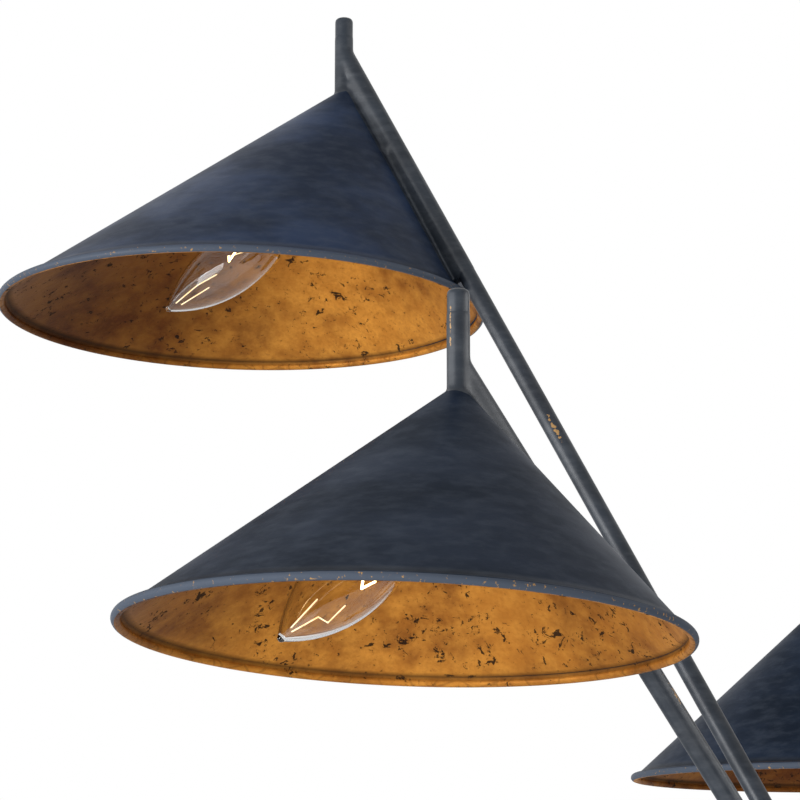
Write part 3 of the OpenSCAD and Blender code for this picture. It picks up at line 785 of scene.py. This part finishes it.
def wire(bm: BMesh, points: Sequence[Vector], radius: float, sides: int = 10, rings: int = 6) -> None:
    """Adds a round wire along a few points.

    Args:
        bm: Mesh to add to.
        points: Corners of the wire.
        radius: Radius of the wire.
        sides: Faces round the wire.
        rings: Faces from pole to pole of its round corners.
    """
    for a, b in zip(points, points[1:]):
        way = b - a
        turn = way.to_track_quat("Z", "Y").to_matrix().to_4x4()
        cylinder(bm, Matrix.Translation(a + way / 2) @ turn, way.length, radius, sides)
    for p in points:
        bmesh.ops.create_uvsphere(bm, u_segments=sides, v_segments=rings, radius=radius,
                                  matrix=Matrix.Translation(p))


def off_axis(co: Vector) -> float:
    """Distance of a point from the Z axis."""
    return math.hypot(co.x, co.y)


def fade(distance: float, strength: float, reach: float) -> float:
    """A strength that falls off softly with distance."""
    return strength * math.exp(-(distance / reach) ** 2)


def mark(bm: BMesh, layer: str, amount: Callable[[Vector], float]) -> None:
    """Stores a number from zero to one on every vertex.

    Args:
        bm: Mesh to mark.
        layer: Name of the attribute.
        amount: Gives the number from a vertex's place.
    """
    values = bm.verts.layers.float.new(layer)
    for v in bm.verts:
        v[values] = max(0.0, min(1.0, amount(v.co)))


@dataclass
class OnArm:
    """A sub-assembly that belongs to one arm."""

    place: ArmPlace
    finishes: Finishes

    @property
    def body(self) -> str:
        """Body that carries it."""
        return "frame"

    def put(self, bm: BMesh, piece: str, at: Matrix, materials: Iterable[Material], slot: str,
            stands_for: str = "") -> Object:
        """Makes an object of a mesh, in place, and lets it ride on its body.

        Args:
            bm: Mesh in millimetres, in its own frame.
            piece: Name of the piece, without its ring and number.
            at: Frame of the piece in the chandelier, in millimetres.
            materials: Materials in the order of the faces' numbers.
            slot: Material slot of the record; not used.
            stands_for: Solid that the piece replaces, named in the same way.

        Returns:
            The new object.
        """
        name = self.place.name(piece)
        bmesh.ops.transform(bm, matrix=Matrix.Scale(MM, 4) @ at, verts=bm.verts[:])
        for face in bm.faces:
            face.smooth = True
        mesh = bpy.data.meshes.new(name)
        bm.to_mesh(mesh)
        bm.free()
        for material in materials:
            mesh.materials.append(material)
        made = bpy.data.objects.new(name, mesh)
        bpy.context.scene.collection.objects.link(made)
        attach(made, self.body)
        if stands_for:
            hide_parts(self.place.name(stands_for))
        LOG.info("%s: %d faces", name, len(mesh.polygons))
        return made


@dataclass
class Shade(OnArm):
    """A slanted cone of sheet metal with a rolled rim, leafed inside."""

    steps: int = 176
    bead_steps: int = 34
    wall_steps: int = 26
    tip_r: float = 0.4
    groove_in: float = 2.5
    groove_z: float = 2.2
    lip_up: float = 1.3
    bead_from: float = 137.0
    bead_to: float = -208.0
    gold_from: float = -72.0

    @property
    def rim_r(self) -> float:
        """Radius of the rim at the bead's middle."""
        return self.place.sizes.rim_r

    @property
    def bead_top(self) -> float:
        """Height just above the bead."""
        return ROD.bead_r * 1.02

    def outer_r(self, z: float) -> float:
        """Radius of the outer face at one height."""
        return self.rim_r * (1 - z / self.place.local_h)

    def inner_r(self, z: float) -> float:
        """Radius of the inner face at one height."""
        h = self.place.local_h
        return self.rim_r * (1 - (z + ROD.sheet_t * math.hypot(1, h / self.rim_r)) / h)

    def bead(self, angle: float) -> Point2:
        """Point of the bead's section at an angle in degrees."""
        a = math.radians(angle)
        return self.rim_r + ROD.bead_r * math.cos(a), ROD.bead_r * math.sin(a)

    def profile(self) -> list[Point2]:
        """Section of the shade from its tip round the bead to the inner tip."""
        h, turn = self.place.local_h, self.bead_to - self.bead_from
        tip = (self.tip_r, h * (1 - self.tip_r / self.rim_r))
        bead = [self.bead(self.bead_from + turn * i / self.bead_steps) for i in range(self.bead_steps + 1)]
        groove = (self.rim_r - self.groove_in, self.groove_z)
        lip_z = self.groove_z + self.lip_up
        lip = (self.inner_r(lip_z), lip_z)
        top = (self.tip_r, tip[1] - (self.outer_r(0) - self.inner_r(0)) * h / self.rim_r)
        points = [(0.0, tip[1]), tip, *line_points(tip, bead[0], self.wall_steps), *bead, groove, lip]
        return [*points, *line_points(lip, top, self.wall_steps), top, (0.0, top[1])]

    def bead_angle(self, r: float, z: float) -> float:
        """Angle round the bead of a place of the section, in degrees."""
        return math.degrees(math.atan2(z, r - self.rim_r))

    def is_outside(self, r: float, z: float) -> bool:
        """Whether a place of the section belongs to the outer face.

        Args:
            r: Radius of the place.
            z: Height of the place.

        Returns:
            True on the outer face.
        """
        overlap = 6.0
        if z < self.bead_top:
            return self.gold_from < self.bead_angle(r, z) < self.bead_from + overlap
        return r > (self.outer_r(z) + self.inner_r(z)) / 2

    def build(self) -> None:
        """Builds and dresses the shade."""
        bm = spun(self.profile(), self.steps)
        mark(bm, WEAR, self.wear)
        # painted shade along the creases between bead and wall
        mark(bm, CREASE_SHADE_AND_BAND, self.crease_shade_and_band)
        # painted light: the lower part of the bead made paler
        mark(bm, BEAD_LIGHT, self.pale)
        # painted shade on the leaf, tinted brownish, strongest on the outer side
        mark(bm, SIDE_SHADE, self.tone)
        for face in bm.faces:
            c = face.calc_center_median()
            outside = self.is_outside(off_axis(c), c.z)
            face.material_index = (Skin.OUTSIDE if outside else Skin.INSIDE).value
        wall = [v for v in bm.verts if v.co.z > self.bead_top]
        bmesh.ops.transform(bm, matrix=self.place.shear(), verts=wall)
        # lower shades take the patina, upper shades its lighter copy that carries painted light
        patina = self.finishes.patina if self.place.tier is Tier.LOWER else self.finishes.lit_blue_patina
        self.put(bm, "cone", self.place.rim(), (patina, self.finishes.leaf), "shade_patina", "shade")

    def tone(self, co: Vector) -> float:
        """Painted shade on the leaf, tinted brownish: most on the outer side, a little next to the arm."""
        outer, outer_power, inner, inner_power = 1.05, 1.3, 0.42, 2.0
        out = co.x / max(1.0, off_axis(co))
        return outer * max(0.0, out) ** outer_power + inner * max(0.0, -out) ** inner_power

    def pale(self, co: Vector) -> float:
        """Painted light on the patina: the bead paler up to a part of its height."""
        amount, part = 0.9, 0.6
        return amount if co.z < ROD.bead_r * part else 0.0

    def wear(self, co: Vector) -> float:
        """How much a vertex is rubbed: the bead's outer edge most, the wall hardly."""
        wall, bead, edge, edge_half = 0.05, 0.4, 0.62, 30.0
        if co.z >= self.bead_top:
            return wall
        a = self.bead_angle(off_axis(co), co.z)
        return edge if self.gold_from - edge_half < a < edge_half else bead

    def crease_shade_and_band(self, co: Vector) -> float:
        """Painted shade: how dark a vertex is along the creases where the bead meets the wall."""
        r = off_axis(co)
        near_groove = math.hypot(r - (self.rim_r - self.groove_in), co.z - self.groove_z)
        crease_r, crease_z = self.bead(self.bead_from)
        near_crease = math.hypot(r - crease_r, co.z - crease_z)
        return max(fade(near_groove, strength=0.9, reach=0.9), fade(near_crease, strength=0.8, reach=0.7))


@dataclass
class ArmAndPost(OnArm):
    """A straight arm and the short post that its upper end is welded to."""

    steps: int = 56
    ring_gap: float = 8.0
    round_steps: int = 8
    side_steps: int = 16
    rub_angle: float = 114.0
    rub_at: float = 0.65
    line_angle: float = 11.0

    def build(self) -> None:
        """Builds and dresses both rods."""
        self.arm()
        self.post()

    def arm(self) -> None:
        """The arm, from its seat in the hub to the post."""
        low, high = ROD.arm_start, self.place.length
        count = int((high - low) / self.ring_gap)
        side = [(ROD.rod_r, low + (high - low) * i / count) for i in range(count + 1)]
        bm = spun([(0.0, low), *side, (0.0, high)], self.steps)
        mark(bm, WEAR, self.arm_wear)
        self.put(bm, "rod", self.place.along(), (self.finishes.rod,), "patina", "arm")

    def arm_wear(self, co: Vector) -> float:
        """A rubbed patch part of the way up the arm, and little elsewhere."""
        least = 0.04
        along = co.z - self.rub_at * self.place.length
        across = math.atan2(co.y, co.x) - math.radians(self.rub_angle)
        return least + fade(across, strength=fade(along, strength=1.3, reach=10.0), reach=0.3)

    def post(self) -> None:
        """The post, rounded at its top."""
        foot, top, r = -ROD.post_foot, ROD.post_rise, ROD.rod_r
        shoulder = (r, top - ROD.post_round)
        bend = curve_points(shoulder, (r, top), (r - ROD.post_round, top), self.round_steps)
        side = line_points((r, foot), shoulder, self.side_steps)
        bm = spun([(0.0, foot), (r, foot), *side, *bend, (0.0, top)], self.steps)
        mark(bm, WEAR, self.post_wear)
        # a dark band round the post's top, in the same attribute as the painted crease shade
        mark(bm, CREASE_SHADE_AND_BAND, self.post_dark_band)
        self.put(bm, "pin", self.place.post(), (self.finishes.rod,), "patina", "post")

    def post_dark_band(self, co: Vector) -> float:
        """A dark line round the post's top."""
        amount, height = 0.9, 0.9
        return amount if co.z > ROD.post_rise - height else 0.0

    def post_wear(self, co: Vector) -> float:
        """A rubbed line down one side of the post, and a little at its top edge."""
        line_from, line_to, at_ends, on_upper = 14.0, 32.0, 0.2, 0.4
        edge, edge_wear, least = 1.5, 0.3, 0.05
        across = math.atan2(co.y, co.x) - math.radians(self.line_angle)
        line = fade(across, strength=1.1, reach=0.13)
        line *= 1.0 if line_from < co.z < line_to else at_ends
        line *= 1.0 if self.place.tier is Tier.LOWER else on_upper
        return max(line, edge_wear if co.z > ROD.post_rise - edge else least)


@dataclass
class Weld(OnArm):
    """The smooth run of weld metal where post, arm and cone meet."""

    rim_part: float = 0.965
    half_w: float = 13.0
    cone_sides: int = 160
    tip_r: float = 0.05
    rod_sides: int = 48
    post_up: float = 31.0
    extra: float = 0.3
    spread: float = 10.5
    seam_r: float = 4.4
    seam_in: float = 3.2
    boss_r: float = 4.9
    boss_len: float = 8.5
    voxel: float = 0.6
    rounds: int = 44
    smoothing: float = 0.5
    skin: float = 0.4

    def rod(self, bm: BMesh, place: Matrix, length: float, radius: float) -> None:
        """Adds a piece of rod from a frame's origin up its Z axis."""
        cylinder(bm, place @ Matrix.Translation((0, 0, length / 2)), length, radius, self.rod_sides)

    def strip(self, bm: BMesh) -> None:
        """Adds the strip of the cone that lies under the arm."""
        h = self.place.local_h
        cap_h = h * self.rim_part
        middle = self.place.shear() @ Matrix.Translation((0, 0, h - cap_h / 2))
        bmesh.ops.create_cone(bm, cap_ends=True, segments=self.cone_sides, depth=cap_h, matrix=middle,
                              radius1=self.place.sizes.rim_r * self.rim_part, radius2=self.tip_r)
        for side in (-1, 1):
            cut = bmesh.ops.bisect_plane(bm, geom=bm.verts[:] + bm.edges[:] + bm.faces[:], clear_outer=True,
                                         plane_co=(0, side * self.half_w, 0), plane_no=(0, side, 0))
            rims = [e for e in cut["geom_cut"] if isinstance(e, bmesh.types.BMEdge)]
            bmesh.ops.contextual_create(bm, geom=rims)
        bmesh.ops.transform(bm, matrix=self.place.rim(), verts=bm.verts[:])

    def form(self) -> BMesh:
        """The strip, the two rods, the filler of the seam and the lamp's boss, still separate."""
        place = self.place
        bm = bmesh.new()
        self.strip(bm)
        seam = place.wall * self.rim_part
        start = place.lamp_s + place.sizes.lamp_drop - seam
        rod_r = ROD.rod_r + self.extra
        self.rod(bm, place.along(start), place.length - start, rod_r)
        self.rod(bm, place.along(start) @ Matrix.Translation((self.seam_in, 0, 0)), seam, self.seam_r)
        foot = place.post() @ Matrix.Translation((0, 0, -ROD.post_foot))
        self.rod(bm, foot, ROD.post_foot + self.post_up, rod_r)
        across = place.along(place.lamp_s) @ Matrix.Rotation(math.pi / 2, 4, "Y")
        self.rod(bm, across, self.boss_len, self.boss_r)
        return bm

    def melted(self) -> BMesh:
        """The forms run together, with soft inner corners."""
        rough = bpy.data.meshes.new("weld_rough")
        bm = self.form()
        bm.to_mesh(rough)
        bm.free()
        lump = bpy.data.objects.new("weld_rough", rough)
        bpy.context.scene.collection.objects.link(lump)
        remesh = lump.modifiers.new("melt", "REMESH")
        remesh.mode = "VOXEL"
        remesh.voxel_size = self.voxel
        soften = lump.modifiers.new("soften", "SMOOTH")
        soften.factor = self.smoothing
        soften.iterations = self.rounds
        seen = lump.evaluated_get(bpy.context.evaluated_depsgraph_get())
        soft = bmesh.new()
        soft.from_mesh(seen.to_mesh())
        bpy.data.objects.remove(lump)
        bpy.data.meshes.remove(rough)
        return soft

    def build(self) -> None:
        """Builds and dresses the weld, without what lies inside the cone or far from both rods."""
        bm = self.melted()
        h, r = self.place.local_h, self.place.sizes.rim_r
        to_cone = (self.place.rim() @ self.place.shear()).inverted()
        to_arm, to_post = self.place.along().inverted(), self.place.post().inverted()
        spare = []
        for v in bm.verts:
            q = to_cone @ v.co
            deep = q.z < h and off_axis(q) < r * (1 - q.z / h) - self.skin
            if deep or min(off_axis(to_arm @ v.co), off_axis(to_post @ v.co)) > self.spread:
                spare.append(v)
        bmesh.ops.delete(bm, geom=spare, context="VERTS")
        cleaned(bm)
        mark(bm, WEAR, lambda co: self.wear(to_post @ co))
        self.put(bm, "weld", Matrix.Identity(4), (self.finishes.rod,), "patina")

    def wear(self, co: Vector) -> float:
        """The post's rubbed line, and little elsewhere, at a place in the post's frame."""
        near, least = 1.0, 0.05
        if off_axis(co) > ROD.rod_r + near:
            return least
        return ArmAndPost(self.place, self.finishes).post_wear(co)


@dataclass
class Candle(OnArm):
    """A clear candle lamp: screw base, inner stem, glowing filament and glass."""

    steps: int = 72
    stem_steps: int = 40
    watts: float = 0.03
    glow: Colour = (1.0, 0.68, 0.36)
    glow_r: float = 0.006
    glow_back: float = 2.0
    thread_pitch: float = 2.54
    thread_depth: float = 0.3
    stem_up: float = 0.2
    neck_r: float = 5.0
    shoulder_up: float = 13.0

    @property
    def body(self) -> str:
        """Body that carries the lamp."""
        return self.place.name("bulb")

    def turned(self) -> Matrix:
        """Frame of the lamp's axis, turned as far as the lamp is screwed in."""
        turn = math.pi / 2 if self.place.tier is Tier.UPPER else 0.0
        return self.place.lamp() @ Matrix.Rotation(turn, 4, "Z")

    def build(self) -> None:
        """Builds and dresses the lamp."""
        self.light()
        self.base()
        self.stem()
        self.wires("filament", COIL, self.finishes.filament)
        # glowing lead wires and painted glints
        self.wires("strands", GLOWING_WIRES_AND_GLINTS, self.finishes.wire_and_glint_glow)
        self.glass()

    def light(self) -> None:
        """The small warm light that the filament gives."""
        data = bpy.data.lights.new(self.place.name("glow"), "POINT")
        data.energy = self.watts
        data.color = self.glow
        data.shadow_soft_size = self.glow_r
        lamp = bpy.data.objects.new(self.place.name("glow"), data)
        lamp.location = self.place.lamp() @ Vector((0, 0, LAMP.glass_mid - self.glow_back)) * MM
        lamp.visible_camera = lamp.visible_glossy = lamp.visible_transmission = False
        bpy.context.scene.collection.objects.link(lamp)
        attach(lamp, self.body)

    def base(self) -> None:
        """The brass screw base with its rolled thread and end contact."""
        low, high, r = LAMP.base_top, LAMP.base_mouth, LAMP.base_r
        contact = low - LAMP.contact_h
        thread, steps, first, less, inset = [], 60, 1.5, 6.5, 0.35
        for i in range(steps + 1):
            z = low + first + (high - low - less) * i / steps
            wave = math.cos(2 * math.pi * (z - low) / self.thread_pitch)
            thread.append((r - inset + self.thread_depth * wave, z))
        end = [(0.0, contact), (2.2, contact), (2.8, low - 1.8), (2.9, low), (r - 1.2, low)]
        mouth = [(r - 0.1, high - 3.5), (r - 0.1, high - 0.4), (r - 0.5, high), (0.0, high)]
        bm = spun([*end, *thread, *mouth], self.steps)
        self.put(bm, "screw_base", self.place.lamp(), (self.finishes.brass,), "brass", "bulb_base")

    def stem(self) -> None:
        """The flared glass stem that holds the filament's wires."""
        low = LAMP.glass_foot + self.stem_up
        bm = spun([(r, low + up) for r, up in STEM_SECTION], self.stem_steps)
        stem = self.put(bm, "lamp_stem", self.place.lamp(), (self.finishes.glass,), "bulb_glass")
        stem.visible_shadow = False

    def wires(self, name: str, runs: Sequence[Run], material: Material) -> None:
        """Wires inside the glass.

        Args:
            name: Name of the piece.
            runs: Radius and corners of each wire, from the middle of the glass.
            material: Its finish.
        """
        bm = bmesh.new()
        middle = Vector((0, 0, LAMP.glass_mid))
        for radius, points in runs:
            wire(bm, [middle + Vector(p) for p in points], radius)
        self.put(bm, name, self.turned(), (material,), "bulb_glass")

    def glass(self) -> None:
        """The blown glass, a closed shell with its inner face."""
        foot, neck_r, t = LAMP.glass_foot, self.neck_r, LAMP.glass_t
        start, end = foot + self.shoulder_up, LAMP.glass_mid + LAMP.glass_tip_len - LAMP.glass_end
        bends, rings, flare, least = 10, 64, 0.6, 0.3
        shares = [(1 - math.cos(math.pi * i / rings)) / 2 for i in range(rings + 1)]
        heights = [start + (end - start) * share for share in shares]
        neck = curve_points((neck_r, foot + 4.2), (neck_r + flare, foot + 8.5), (LAMP.radius(start), start),
                            bends)
        outer = [(neck_r, foot), *neck, *[(LAMP.radius(z), z) for z in heights[1:]]]
        end_r = LAMP.radius(end)
        nose = curve_points((end_r, end), (end_r * 0.72, end + end_r), (0.0, end + end_r), bends)
        inner_end, inner_last = end - 0.2, end - 0.6
        inner = [(max(least, LAMP.radius(z, t)), z) for z in heights if z < inner_last]
        inner_neck = [(r - t, z) for r, z in neck[:-1]]
        inside = [(neck_r - t, foot), *inner_neck, *inner, (0.0, inner_end)]
        bm = spun([*reversed(inside), *outer, *nose[1:]], self.steps)
        glass = self.put(bm, "glass", self.place.lamp(), (self.finishes.glass,), "bulb_glass", "bulb_glass")
        glass.visible_shadow = False


@dataclass
class Arm:
    """One arm with everything that it carries."""

    place: ArmPlace

    def build(self, finishes: Finishes) -> None:
        """Builds the arm, its post, shade, weld and lamp in the chandelier's finishes."""
        for kind in (ArmAndPost, Shade, Weld, Candle):
            kind(self.place, finishes).build()


@dataclass
class CarriedOver:
    """The solids that keep their own shape and only take a finish."""

    finishes: Finishes

    def dress(self) -> None:
        """Gives every shown solid its material."""
        by_slot = {
            "patina": self.finishes.rod,
            "shade_patina": self.finishes.patina,
            "gilding": self.finishes.gilding,
            "brass": self.finishes.brass,
            "zinc_steel": self.finishes.zinc,
            "green_screw": self.finishes.green,
            "holder_black": self.finishes.phenolic,
            "bulb_glass": self.finishes.glass,
        }
        for row in frame["record"]["subparts"]:
            solid = frame["nodes"][row["node"]]
            solid.data.materials.clear()
            solid.data.materials.append(by_slot[row["material_slot"]])
            LOG.info("%s: dressed", row["node"])


@dataclass(frozen=True)
class SoftBox:
    """An area light, in metres, watts and degrees of beam; a card only shows in shiny faces."""

    name: str
    place: Point3
    size: Point2
    power: float
    spread: float = 180.0
    card: bool = False

    def build(self, target: Vector) -> None:
        """Adds the light.

        Args:
            target: Where it points, in metres.
        """
        data = bpy.data.lights.new(self.name, "AREA")
        data.spread = math.radians(self.spread)
        data.shape = "RECTANGLE"
        data.size, data.size_y = self.size
        data.energy = self.power
        lamp = bpy.data.objects.new(self.name, data)
        lamp.location = self.place
        lamp.visible_diffuse = not self.card
        lamp.visible_camera = lamp.visible_transmission = False
        lamp.rotation_mode = "QUATERNION"
        lamp.rotation_quaternion = (target - Vector(self.place)).to_track_quat("-Z", "Y")
        bpy.context.scene.collection.objects.link(lamp)


@dataclass
class Studio:
    """Floor, light and camera."""

    lens: float = 139.6
    sensor: float = 36.0
    pitch: float = 13.14
    clip: Point2 = (0.01, 200.0)
    camera_mm: Point3 = (-279.07, -1429.45, HUB_Z + 67.6)
    floor_z: float = -2.6
    floor_half: float = 30.0
    floor_cells: int = 8
    sky: Colour = (0.94, 0.97, 1.0)
    ambient: float = 0.5
    aim_up: float = 0.45
    boxes: tuple[SoftBox, ...] = (
        SoftBox("key", (-2.5, -1.7, -1.3), (1.6, 1.6), 35.5, spread=120.0),
        SoftBox("fill", (0.2, -2.9, -2.0), (1.8, 1.8), 11.5, spread=120.0),
        SoftBox("top", (-0.4, 0.6, 1.6), (2.4, 2.4), 6.0),
        SoftBox("left_card", (-1.9, -0.7, -0.45), (2.8, 0.9), 33.0, card=True),
        SoftBox("low_card", (-0.4, -0.7, -2.3), (2.6, 1.6), 14.0, card=True),
        SoftBox("right_card", (1.9, -0.6, -0.3), (2.8, 0.9), 44.0, card=True),
    )

    def build(self) -> None:
        """Builds the whole studio."""
        self.floor()
        self.world()
        for box in self.boxes:
            box.build(Vector((0.0, 0.0, HUB_Z * MM + self.aim_up)))
        self.camera()
        bpy.context.scene.view_settings.view_transform = "Standard"

    def floor(self) -> None:
        """A pale floor far below the chandelier."""
        bm = bmesh.new()
        bmesh.ops.create_grid(bm, x_segments=self.floor_cells, y_segments=self.floor_cells,
                              size=self.floor_half, matrix=Matrix.Translation((0, 0, self.floor_z)))
        mesh = bpy.data.meshes.new("floor")
        bm.to_mesh(mesh)
        bm.free()
        mesh.materials.append(FloorFinish().material())
        floor = bpy.data.objects.new("floor", mesh)
        bpy.context.scene.collection.objects.link(floor)

    def world(self) -> None:
        """White behind the object and in its shiny faces and glass, softer light elsewhere."""
        world = bpy.data.worlds.new("studio")
        bpy.context.scene.world = world
        world.use_nodes = True
        graph = Graph(world.node_tree)
        white = graph.add("ShaderNodeBackground", {"Color": (1, 1, 1, 1), "Strength": 1.0})
        soft = graph.add("ShaderNodeBackground", {"Color": (*self.sky, 1.0), "Strength": self.ambient})
        both = graph.add("ShaderNodeMixShader", {0: graph.seen(), 1: soft.outputs[0], 2: white.outputs[0]})
        graph.add("ShaderNodeOutputWorld", {"Surface": both.outputs[0]})

    def camera(self) -> None:
        """A long lens that looks a little upwards along +Y."""
        data = bpy.data.cameras.new("camera")
        data.lens = self.lens
        data.sensor_width = self.sensor
        data.clip_start, data.clip_end = self.clip
        camera = bpy.data.objects.new("camera", data)
        camera.location = [c * MM for c in self.camera_mm]
        camera.rotation_euler = (math.radians(90 + self.pitch), 0, 0)
        bpy.context.scene.collection.objects.link(camera)
        bpy.context.scene.camera = camera


def main() -> None:
    """Builds the chandelier's looks and the studio round it."""
    logging.basicConfig(level=logging.INFO, format="%(message)s")
    finishes = Finishes()
    CarriedOver(finishes).dress()
    for tier in Tier:
        for number in range(1, ARMS_PER_TIER + 1):
            Arm(ArmPlace(tier, number)).build(finishes)
    Studio().build()


if __name__ == "__main__":
    main()
